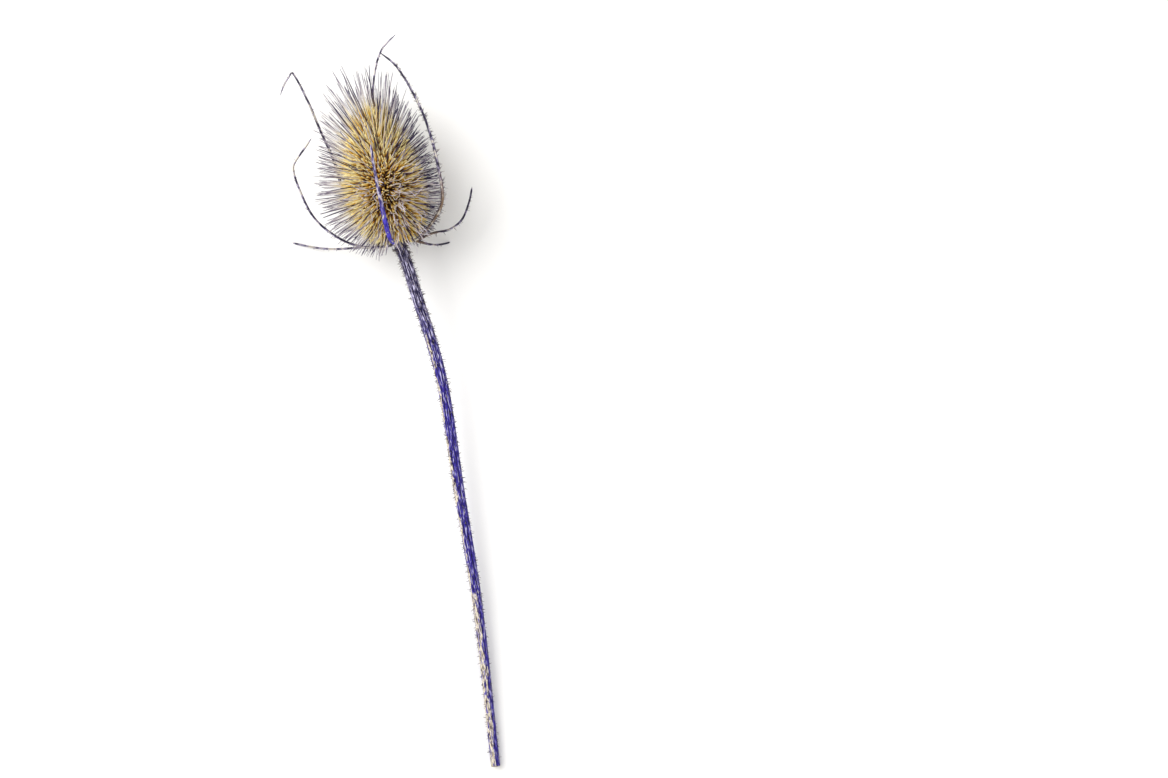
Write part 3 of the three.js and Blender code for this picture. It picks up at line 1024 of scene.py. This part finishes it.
@dataclass
class Bracts:
    """The long leaves that curve up round the head, and the prickles on them."""

    pose: HeadPose
    tree: ThornTree
    blade_finish: Material
    prickle_finish: Material
    slot: str = "bracts"
    root_radius: float = 3.9 * MM
    shoulder_radius: float = 8.5 * MM
    root_drop: float = 0.5 * MM
    half_width: Span = (0.9 * MM, 0.34 * MM)
    half_thickness: Span = (0.68 * MM, 0.48 * MM)
    slender_span: float = 0.5
    step: float = 0.75 * MM
    section_sides: int = 12
    channel: float = 0.45
    tip_span: float = 0.04
    tip_width: float = 0.05
    fade_from: float = 0.6
    tone_step: float = 0.618
    prickle_step: float = 1.6 * MM
    prickle_span: Span = (0.06, 0.94)
    prickle_sides: Spot = (0.4, 0.2, 0.4)
    prickle_lean: float = 0.35
    prickle_foot: float = 0.8
    prickle_tilt: Span = (-0.2, 0.7)
    prickle_reach: Span = (1.7 * MM, 0.6 * MM)
    prickle_girth: float = 0.8
    reach_spread: Span = (0.5, 1.2)
    girth_spread: Span = (0.6, 1.0)
    tone_spread: Span = (0.4, 1.0)
    hair_stretch: float = 0.4
    floor_gap: float = 0.2 * MM
    seed: int = 11

    def line(self, shape: BractShape) -> BractLine:
        """Works out a bract's middle line in the head's plan, before it is turned to the way the head points.

        Args:
            shape: The bract.

        Returns:
            Its middle line.
        """
        angle = math.radians(shape.angle)
        outward = np.array([math.sin(angle), 0.0, math.cos(angle)])
        base = self.pose.axis(-self.root_drop)
        start = [base + self.root_radius * outward, base + self.shoulder_radius * outward]
        route = Route(np.vstack([*start, np.array(shape.route) * MM]))
        share = np.linspace(0.0, 1.0, round(route.length / self.step) + 1)
        along = route.heading(share * route.length)
        out = np.empty_like(along)
        facing = np.array([0.0, -1.0, 0.0])
        for k, way in enumerate(along):
            facing = unit(facing - way * (facing @ way))
            out[k] = facing
        width = shape.width * (1.0 - shape.slender * (1.0 - ease(share, 0.0, self.slender_span)))
        return BractLine(
            centre=route.at(share * route.length),
            along=along,
            across=np.cross(out, along),
            out=out,
            half_width=width * mix(*self.half_width, ease(share, 0.0, 1.0)),
            half_thickness=mix(*self.half_thickness, share),
        )

    def _fade(self, share: Array, reach: float) -> Array:
        """Falls from 1 at the root to 0 at reach, or is 0 all along where reach is 0."""
        return 1.0 - ease(share, self.fade_from * reach, reach) if reach else np.zeros_like(share)

    def blade(self, shape: BractShape, line: BractLine, tone: float) -> None:
        """Makes a bract's blade: a lens in section, hollowed along its inner face.

        Args:
            shape: The bract.
            line: Its middle line.
            tone: A number that varies its colour.
        """
        angle = angles_round(self.section_sides)
        side, face = np.cos(angle), np.sin(angle)
        face = np.where(face < 0, face * (1 - self.channel * (1 - side * side)), face)
        share = np.linspace(0.0, 1.0, len(line.centre))
        taper = np.sqrt(np.clip((1.0 - share) / self.tip_span, 0.0, 1.0))[:, None, None]
        wide = line.across[:, None] * (line.half_width[:, None] * side)[..., None]
        thick = line.out[:, None] * (line.half_thickness[:, None] * face)[..., None]
        rings = above_floor(line.centre[:, None] + (wide + thick) * np.maximum(taper, self.tip_width))
        by_ring = {
            "along": share * self.step * (len(rings) - 1),
            "violet": np.maximum(self._fade(share, shape.violet), shape.tint),
            "brown": self._fade(share, shape.brown),
            "pale": np.full(len(rings), shape.pale),
            "tone": np.full(len(rings), tone),
        }
        piece = new_piece(
            f"{shape.node}_blade",
            self.pose.place(rings),
            tube_faces(len(rings), self.section_sides),
            self.blade_finish,
            across=np.tile(side, len(rings)),
            **{name: np.repeat(values, self.section_sides) for name, values in by_ring.items()},
        )
        attach(piece, shape.node)

    def prickles(self, shape: BractShape, line: BractLine, seed: int) -> None:
        """Stands prickles on a bract's two edges and along its outer face, shorter towards its tip.

        Args:
            shape: The bract.
            line: Its middle line.
            seed: The seed of their draw.
        """
        draw = np.random.default_rng(seed)
        last = len(line.centre) - 1
        count = int(shape.hairy * last * self.step / self.prickle_step)
        picked = np.sort(draw.integers(*(int(share * last) for share in self.prickle_span), count))
        kind = draw.choice([-1, 0, 1], count, p=self.prickle_sides)
        lean = draw.uniform(-self.prickle_lean, self.prickle_lean, count)
        across, out = line.across[picked], line.out[picked]
        way = unit(across * kind[:, None] + out * (1 - np.abs(kind) + lean)[:, None])
        foot = np.abs((way * across).sum(1)) * line.half_width[picked]
        foot = foot + np.abs((way * out).sum(1)) * line.half_thickness[picked]
        roots = line.centre[picked] + way * (self.prickle_foot * foot)[:, None]
        aimed = unit(way + line.along[picked] * draw.uniform(*self.prickle_tilt, count)[:, None])
        reach = mix(*self.prickle_reach, picked / last) * draw.uniform(*self.reach_spread, count)
        reach = reach * shape.hairy**self.hair_stretch
        free = (roots + aimed * reach[:, None])[:, 2] > self.floor_gap
        points = ThornPoints(
            self.pose.place(roots[free]),
            self.pose.turn(aimed[free]),
            reach[free],
            draw.uniform(*self.girth_spread, free.sum()),
            draw.uniform(*self.tone_spread, free.sum()),
        )
        name = f"{shape.node}_prickles"
        piece = self.tree.grow(name, Thorn.PRICKLE, points, self.prickle_finish, seed, self.prickle_girth)
        attach(piece, shape.node)

    def build(self) -> list[BractLine]:
        """Makes every bract.

        Returns:
            Their middle lines.
        """
        lines = [self.line(shape) for shape in BRACTS]
        for k, (shape, line) in enumerate(zip(BRACTS, lines)):
            self.blade(shape, line, self.tone_step * k)
            self.prickles(shape, line, self.seed + k)
        return lines


@dataclass
class SeedHead:
    """The egg-shaped head: a core, the dry florets on it and the spines and threads between them."""

    pose: HeadPose
    tree: ThornTree
    lines: list[BractLine]
    core_finish: Material
    floret_finish: Material
    spine_finish: Material
    thread_finish: Material
    node: str = "seed_head"
    slot: str = "spines"
    core_length: float = 52 * MM
    core_radius: float = 12.4 * MM
    core_base_radius: float = 4.5 * MM
    widest: float = 0.42
    fullness: float = 0.6
    bow: float = 1 * MM
    core_sides: int = 64
    core_rings: int = 48
    core_end: float = 0.9995
    first: float = 0.05
    area_samples: int = 2001
    fan: float = 0.48
    spine_count: int = 1100
    spine_length: Spot = (7.4 * MM, 12.8 * MM, 22.4 * MM)
    spine_girth: Span = (0.8, 1.15)
    side_span: Span = (0.3, 0.6)
    lopsided: Span = (0.17, 0.05)
    length_spread: float = 0.12
    full_share: float = 0.35
    shortest: float = 0.6
    lean_spread: float = 0.1
    # Painted shade on the head's right side and painted light on its left, added to the spines' tone.
    spine_painted_shade_right: float = 0.3
    spine_painted_light_left: float = 0.15
    curled_every: int = 5
    curl_height: float = 4 * MM
    clearance: float = 0.5 * MM
    clearing_rounds: int = 10
    least_lever: float = 0.3
    floret_count: int = 2800
    floret_length: Span = (3.2 * MM, 5.4 * MM)
    floret_girth: Span = (0.75, 1.15)
    floret_spread: float = 0.16
    # Painted light: how much paler the florets are made at the top of the head and on its left side.
    floret_painted_light: float = 1.4
    floret_painted_light_top: Span = (0.45, 0.85)
    floret_painted_light_left: Span = (0.2, 0.9)
    thread_count: int = 90
    thread_span: Span = (0.1, 0.5)
    thread_angle: Span = (math.radians(12), math.radians(32))
    thread_length: Span = (9 * MM, 13 * MM)
    thread_girth: Span = (0.7, 1.2)
    thread_spread: float = 0.22
    seed: int = 7

    def radius(self, share: Array) -> Array:
        """Gives the core's radius.

        Args:
            share: Shares of the core's length.

        Returns:
            The radius at each.
        """
        power = math.log(0.5) / math.log(self.widest)
        shape = np.sin(math.pi * np.clip(share, 0.0, 1.0) ** power).clip(0.0) ** self.fullness
        return np.maximum(self.core_radius * shape, self.core_base_radius * (1 - share / self.first))

    def core_point(self, share: Array, angle: Array) -> Array:
        """Gives points on the core, in the head's plan.

        Args:
            share: Their shares of the core's length.
            angle: Their angles round the axis, from the top towards the right.

        Returns:
            The points, one a row.
        """
        radius = self.radius(share)
        x = radius * np.sin(angle) - self.bow * np.sin(math.pi * share)
        return self.pose.tilt(np.stack([x, share * self.core_length, radius * np.cos(angle)], axis=-1))

    def shares(self, count: int) -> Array:
        """Gives shares of the core's length that leave each thorn the same area of the core.

        Args:
            count: How many thorns there are.

        Returns:
            Their shares, from the base up.
        """
        edges = np.linspace(self.first, 1.0, self.area_samples)
        radius = self.radius(edges)
        slope = np.hypot(np.diff(radius), np.diff(edges) * self.core_length)
        area = np.concatenate([[0.0], np.cumsum(slope * (radius[1:] + radius[:-1]) / 2)])
        return np.interp((np.arange(count) + 0.5) / count * area[-1], area, edges)

    def outward(self, share: Array, foot: Array) -> Array:
        """Gives the directions in which thorns stand: down at the base, out at the sides, up at the top.

        Args:
            share: Their shares of the core's length.
            foot: Where they leave the core.

        Returns:
            Their directions.
        """
        along = mix(self.widest, share, self.fan) * self.core_length
        focus = np.stack([-self.bow * np.sin(math.pi * share), along, np.zeros_like(share)], axis=-1)
        return unit(foot - self.pose.tilt(focus))

    def loose_points(
        self, draw: np.random.Generator, share: Array, angle: Array, spread: float, length: Span, girth: Span
    ) -> ThornPoints:
        """Stands thorns on the core that lean any way.

        Args:
            draw: What draws their leans and sizes.
            share: Their shares of the core's length.
            angle: Their angles round the axis.
            spread: How far they lean off their way out.
            length: Their least and greatest length.
            girth: Their least and greatest width, as a share of their shape's own.

        Returns:
            The thorns.
        """
        foot = self.core_point(share, angle)
        way = unit(self.outward(share, foot) + draw.normal(0.0, spread, foot.shape))
        sizes = [draw.uniform(*span, len(share)) for span in (length, girth, (0.0, 1.0))]
        return ThornPoints(self.pose.place(foot), self.pose.turn(way), *sizes)

    def clear_tips(self, foot: Array, tip: Array) -> Array:
        """Moves spine tips until each spine passes every bract at a clear distance and stays off the surface.

        Args:
            foot: Where the spines leave the core.
            tip: Their tips.

        Returns:
            The tips' new places.
        """
        centre = np.vstack([line.centre for line in self.lines])[:, None]
        room = np.concatenate([line.half_width for line in self.lines]) + self.clearance
        each = np.arange(len(tip))
        tip = tip.copy()
        for _ in range(self.clearing_rounds):
            shaft = tip - foot
            reached = np.einsum("sk,bsk->bs", shaft, centre - foot)
            share = np.clip(reached / np.einsum("sk,sk->s", shaft, shaft), 0.0, 1.0)
            off = foot + share[..., None] * shaft - centre
            lacking = room[:, None] - np.linalg.norm(off, axis=2)
            worst = lacking.argmax(axis=0)
            lever = np.maximum(share[worst, each], self.least_lever)
            need = np.clip(lacking[worst, each], 0.0, None) / lever
            if not need.any():
                break
            tip += unit(off[worst, each]) * need[:, None]
        tip[:, 2] = np.maximum(tip[:, 2], Thorn.SPINE.value.bend)
        return tip

    def spine_points(self) -> ThornPoints:
        """Works out where the spines stand.

        Returns:
            The spines, from the base up.
        """
        draw = np.random.default_rng(self.seed)
        count = self.spine_count
        share = self.shares(count)
        angle = np.arange(count) * GOLDEN_ANGLE
        right = np.sin(angle)
        foot = self.core_point(share, angle)
        way = unit(self.outward(share, foot) + draw.uniform(-self.lean_spread, self.lean_spread, foot.shape))
        base, side, top = self.spine_length
        length = mix(base, side, ease(share, 0.0, self.side_span[0]))
        upper = ease(share, self.side_span[1], 1.0)
        length = length + (top - length) * upper
        length = length * (1 - mix(*self.lopsided, upper) * right)
        length = length * (1 + draw.uniform(-self.length_spread, self.length_spread, count))
        full = draw.uniform(0.0, 1.0, count) < self.full_share
        ragged = np.where(full, 1.0, draw.uniform(self.shortest, 1.0, count))
        length = length * mix(1.0, ragged, upper)
        shaft = self.clear_tips(foot, foot + way * length[:, None]) - foot
        # Painted shade and light: spines on the right get a higher tone, so more of them turn dark, and those
        # on the left get a lower one.
        shade = np.where(right > 0, self.spine_painted_shade_right, self.spine_painted_light_left) * right
        return ThornPoints(
            self.pose.place(foot),
            self.pose.turn(unit(shaft)),
            np.linalg.norm(shaft, axis=1),
            draw.uniform(*self.spine_girth, count),
            np.clip(draw.uniform(0.0, 1.0, count) + shade, 0.0, 1.0),
        )

    def core(self) -> None:
        """Makes the core, with its rings closer together at both ends."""
        levels = np.minimum((1 - np.cos(np.linspace(0.0, math.pi, self.core_rings))) / 2, self.core_end)
        share, angle = np.meshgrid(levels, angles_round(self.core_sides), indexing="ij")
        rings = self.pose.place(self.core_point(share, angle))
        faces = tube_faces(self.core_rings, self.core_sides)
        attach(new_piece("seed_head_core", rings, faces, self.core_finish), self.node)

    def thorns(self, name: str, thorn: Thorn, points: ThornPoints, finish: Material) -> None:
        """Stands one kind of thorn on the core.

        Args:
            name: The piece's name.
            thorn: The shape that repeats.
            points: Where the thorns stand.
            finish: Their material.
        """
        attach(self.tree.grow(name, thorn, points, finish, self.seed), self.node)

    def florets(self) -> None:
        """Stands the dry florets on the core, between the spines, with painted light making them paler at the
        top and on the left.
        """
        draw = np.random.default_rng(self.seed + 1)
        share = self.shares(self.floret_count)
        angle = (np.arange(self.floret_count) + 0.5) * GOLDEN_ANGLE
        points = self.loose_points(
            draw, share, angle, self.floret_spread, self.floret_length, self.floret_girth
        )
        # Painted light: florets at the top and on the left are made paler.
        paler = np.maximum(ease(share, *self.floret_painted_light_top), ease(-np.sin(angle), *self.floret_painted_light_left))
        points.tone += self.floret_painted_light * paler
        self.thorns("seed_head_florets", Thorn.FLORET, points, self.floret_finish)

    def spines(self) -> None:
        """Stands the spines on the core, a few of them curled."""
        points = self.spine_points()
        curled = np.arange(self.spine_count) % self.curled_every == 0
        curled &= points.heights() > self.curl_height
        self.thorns("seed_head_spines", Thorn.SPINE, points.pick(~curled), self.spine_finish)
        self.thorns("seed_head_curled_spines", Thorn.CURLED_SPINE, points.pick(curled), self.spine_finish)

    def threads(self) -> None:
        """Stands pale winding threads between the spines of the upper side."""
        draw = np.random.default_rng(self.seed + 2)
        share = draw.uniform(*self.thread_span, self.thread_count)
        angle = draw.normal(*self.thread_angle, self.thread_count)
        points = self.loose_points(
            draw, share, angle, self.thread_spread, self.thread_length, self.thread_girth
        )
        self.thorns("seed_head_threads", Thorn.THREAD, points, self.thread_finish)

    def build(self) -> None:
        """Makes the head."""
        self.core()
        self.florets()
        self.spines()
        self.threads()


@dataclass(frozen=True)
class ThornCoat:
    """One kind of thorn all along the stem.

    Attributes:
        name: The piece's name.
        thorn: The shape that repeats.
        count: How many there are.
        crowding: How much they crowd towards the head, 1 being evenly.
        reach: Their length below the head and at the cut end.
    """

    name: str
    thorn: Thorn
    count: int
    crowding: float
    reach: Span


@dataclass
class Stem:
    """The ridged stem, prickly below the head and cut square at its lower end."""

    pose: HeadPose
    tree: ThornTree
    skin_finish: Material
    pith_finish: Material
    prickle_finish: Material
    node: str = "stem"
    slot: str = "stem"
    gap: float = 0.35 * MM
    route: tuple[Spot, ...] = (
        (2.9, -7.6, 19.7), (6.5, -19.2, 18.3), (16.8, -54, 14),
        (24.2, -101, 9), (31.4, -146, 5), (39, -214, 1.55),
    )
    radii: Spot = (2.15 * MM, 2.1 * MM, 1.7 * MM)
    taper: float = 60 * MM
    ridges: int = 8
    ridge_height: float = 0.1
    ridge_sharpness: float = 0.7
    ridge_sides: int = 6
    step: float = 1.5 * MM
    cut_profile: tuple[Span, ...] = (
        (0.96, -0.3 * MM), (0.96, 0.12 * MM), (0.9, 0.16 * MM), (0.72, 0.15 * MM),
        (0.62, 0.06 * MM), (0.35, 0.05 * MM), (0.05, 0.04 * MM),
    )
    pattern_radius: float = 2 * MM
    slate_span: Span = (18 * MM, 60 * MM)
    # Painted light: a cream band on the side facing up and to the left, towards the key light, narrow near
    # the head and wider further down.
    bleached: Span = (138 * MM, 156 * MM)
    bleached_side: Span = (math.radians(156), math.radians(146))
    narrow_edge: Span = (0.7, 0.98)
    wide_edge: Span = (0.0, 0.6)
    bare_end: float = 2 * MM
    coats: tuple[ThornCoat, ...] = (
        ThornCoat("stem_prickles", Thorn.PRICKLE, 300, 1.5, (1.5 * MM, 1.0 * MM)),
        ThornCoat("stem_bristles", Thorn.BRISTLE, 950, 1.8, (1.7 * MM, 1.2 * MM)),
    )
    thorn_spread: float = 0.16
    thorn_foot: float = 0.6
    thorn_tilt: Span = (-0.4, 0.8)
    reach_spread: Span = (0.4, 1.1)
    girth_spread: Span = (0.7, 1.2)
    tone_spread: Span = (0.3, 1.0)
    seed: int = 5

    def __post_init__(self) -> None:
        """Draws the stem's middle line in the part's frame."""
        cos, sin = math.cos(self.pose.yaw), math.sin(self.pose.yaw)
        self.axis = unit(np.array([-sin, cos, math.tan(self.pose.pitch)]))
        top = np.array([0.0, 0.0, self.pose.base_height]) - self.gap * self.axis
        foot = np.array([*self.pose.foot, 0.0])
        self.line = Route(np.vstack([top, np.array(self.route) * MM]) + foot)

    def radius(self, distance: Array) -> Array:
        """Gives the stem's radius.

        Args:
            distance: Distances from the head.

        Returns:
            The radius at each.
        """
        top, middle, end = self.radii
        upper = mix(top, middle, ease(distance, 0.0, self.taper))
        return upper + (end - middle) * ease(distance, self.taper, self.line.length)

    def stations(self, distance: Array) -> tuple[Array, Array, Array, Array]:
        """Gives the stem's middle line and directions.

        Args:
            distance: Distances from the head.

        Returns:
            Points, directions along, directions across and directions up.
        """
        along = self.line.heading(distance)
        along[distance <= 0] = -self.axis
        up = unit(np.array([0.0, 0.0, 1.0]) - along * along[:, 2:])
        return self.line.at(distance), along, np.cross(up, along), up

    def skin(self) -> Array:
        """Makes the stem's skin.

        Returns:
            Its last ring.
        """
        distance = np.linspace(0.0, self.line.length, round(self.line.length / self.step) + 1)
        centre, _, across, up = self.stations(distance)
        sides = self.ridges * self.ridge_sides
        angle = angles_round(sides)
        crest = np.abs(np.cos(angle * self.ridges / 2)) ** self.ridge_sharpness
        radius = self.radius(distance)[:, None] * (1 + self.ridge_height * (2 * crest - 1))
        circle = across[:, None] * np.cos(angle)[:, None] + up[:, None] * np.sin(angle)[:, None]
        rings = above_floor(centre[:, None] + circle * radius[..., None])
        # Painted light: how much each point faces up and to the left, towards the key light; none of it near
        # the head.
        narrow, wide = (np.cos(angle - side) for side in self.bleached_side)
        low = ease(distance, *self.bleached)[:, None]
        bleach = mix(ease(narrow, *self.narrow_edge), ease(wide, *self.wide_edge), low)
        slate = 1.0 - ease(distance, *self.slate_span)
        piece = new_piece(
            "stem_skin",
            rings,
            tube_faces(len(rings), sides),
            self.skin_finish,
            along=np.repeat(distance, sides),
            ridge=np.tile(crest, len(rings)),
            around=np.tile(angle * self.pattern_radius, len(rings)),
            bleach=(bleach * (1.0 - slate[:, None])).ravel(),
            slate=np.repeat(slate, sides),
        )
        attach(piece, self.node)
        return rings[-1]

    def cut_end(self, end: Array) -> None:
        """Makes the cut end: a woody ring that stands a little proud round the pith.

        Args:
            end: The skin's last ring.
        """
        middle = end.mean(axis=0)
        level, rise = np.array(self.cut_profile).T
        out = self.line.heading(np.array([self.line.length]))[0]
        disc = above_floor(middle + (end - middle) * level[:, None, None] + out * rise[:, None, None])
        faces = tube_faces(len(level), len(end))
        piece = new_piece("stem_cut_end", disc, faces, self.pith_finish, rim=np.repeat(level, len(end)))
        attach(piece, self.node)

    def coat(self, coat: ThornCoat, seed: int) -> None:
        """Stands one kind of thorn on the stem's ridges.

        Args:
            coat: The kind of thorn.
            seed: The seed of their draw.
        """
        draw = np.random.default_rng(seed)
        rank = (np.arange(coat.count) + 0.5) / coat.count
        distance = mix(self.bare_end, self.line.length - self.bare_end, rank**coat.crowding)
        centre, along, across, up = self.stations(distance)
        ridge = draw.integers(0, self.ridges, coat.count)
        angle = math.tau * ridge / self.ridges + draw.normal(0.0, self.thorn_spread, coat.count)
        way = across * np.cos(angle)[:, None] + up * np.sin(angle)[:, None]
        foot = self.radius(distance) * (1 + self.thorn_foot * self.ridge_height)
        aimed = unit(way + along * draw.uniform(*self.thorn_tilt, coat.count)[:, None])
        reach = mix(*coat.reach, distance / self.line.length) * draw.uniform(*self.reach_spread, coat.count)
        girth = draw.uniform(*self.girth_spread, coat.count)
        tone = draw.uniform(*self.tone_spread, coat.count)
        points = ThornPoints(centre + way * foot[:, None], aimed, reach, girth, tone)
        points = points.pick(points.heights() > coat.thorn.value.bend)
        piece = self.tree.grow(coat.name, coat.thorn, points, self.prickle_finish, seed)
        attach(piece, self.node)

    def build(self) -> None:
        """Makes the stem."""
        self.cut_end(self.skin())
        for k, coat in enumerate(self.coats):
            self.coat(coat, self.seed + k)


@dataclass(frozen=True)
class Lamp:
    """A square soft light that looks at the head.

    Attributes:
        name: Its name.
        place: Where it hangs, from the head's foot.
        side: Its side.
        power: Its power in watts.
    """

    name: str
    place: Spot
    side: float
    power: float


@dataclass
class Studio:
    """The pale floor, the soft lights and the camera that looks straight down."""

    pose: HeadPose
    floor_finish: Material
    picture: tuple[int, int] = (1168, 778)
    head_base_pixel: Span = (398.5, 241.5)
    pixel: float = 0.405 * MM
    lens: float = 135.0
    floor_side: float = 6.0
    floor_drop: float = 0.1 * MM
    lamps: tuple[Lamp, ...] = (
        Lamp("key", (-0.9, 0.45, 0.9), 1.3, 22.0),
        Lamp("fill", (0.8, -0.5, 0.9), 0.9, 2.0),
    )
    sky: float = 0.8

    def floor(self) -> None:
        """Makes the floor."""
        half = self.floor_side / 2
        corners = np.array([(-half, -half), (half, -half), (half, half), (-half, half)])
        points = np.column_stack([corners, np.full(4, -self.floor_drop)])
        new_piece("floor", points, [(0, 1, 2, 3)], self.floor_finish)

    def light(self, lamp: Lamp) -> None:
        """Hangs a light.

        Args:
            lamp: The light.
        """
        data = bpy.data.lights.new(lamp.name, "AREA")
        data.size = lamp.side
        data.energy = lamp.power
        holder = new_object(lamp.name, data)
        holder.location = Vector((*self.pose.foot, 0.0)) + Vector(lamp.place)
        holder.rotation_euler = (-Vector(lamp.place)).to_track_quat("-Z", "Y").to_euler()

    def camera(self) -> None:
        """Adds the camera, with the head where the photograph has it."""
        data = bpy.data.cameras.new("camera")
        data.lens = self.lens
        width, height = self.picture
        distance = width * self.pixel * self.lens / data.sensor_width
        right = (width / 2 - self.head_base_pixel[0]) * self.pixel
        down = (height / 2 - self.head_base_pixel[1]) * self.pixel
        x, y = self.pose.foot
        camera = new_object("camera", data)
        camera.location = (x + right, y - down, self.pose.base_height + distance)
        bpy.context.scene.camera = camera

    def world(self) -> None:
        """Fills the room with even white light."""
        world = bpy.data.worlds.new("studio")
        world.use_nodes = True
        background = world.node_tree.nodes["Background"]
        background.inputs["Color"].default_value = (1.0, 1.0, 1.0, 1.0)
        background.inputs["Strength"].default_value = self.sky
        bpy.context.scene.world = world

    def build(self) -> None:
        """Sets the scene."""
        self.floor()
        for lamp in self.lamps:
            self.light(lamp)
        self.world()
        self.camera()
        bpy.context.scene.view_settings.view_transform = "Standard"


def find_pose() -> HeadPose:
    """Finds the head's foot in plan from the tips of two bracts, which the solids share.

    Returns:
        How the head lies in the part's frame.
    """
    plain = HeadPose()
    tips = {shape.node: plain.place(np.array(shape.route[-1]) * MM) for shape in BRACTS}
    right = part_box("bract_right")[1].x - tips["bract_right"][0]
    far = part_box("bract_under")[1].y - tips["bract_under"][1]
    return HeadPose(foot=(right, far))


def main() -> None:
    """Builds the teasel and its studio, piece by piece."""
    logging.basicConfig(level=logging.INFO, format="%(message)s")
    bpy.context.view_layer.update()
    pose = find_pose()
    log.info("head foot at %.5f, %.5f", *pose.foot)
    tree = ThornTree()
    prickle = PrickleFinish().material()
    lines = Bracts(pose, tree, BractFinish().material(), prickle).build()
    core, floret, spine = CoreFinish().material(), FloretFinish().material(), SpineFinish().material()
    SeedHead(pose, tree, lines, core, floret, spine, ThreadFinish().material()).build()
    Stem(pose, tree, StemFinish().material(), PithFinish().material(), prickle).build()
    Studio(pose, FloorFinish().material()).build()


if __name__ == "__main__":
    main()
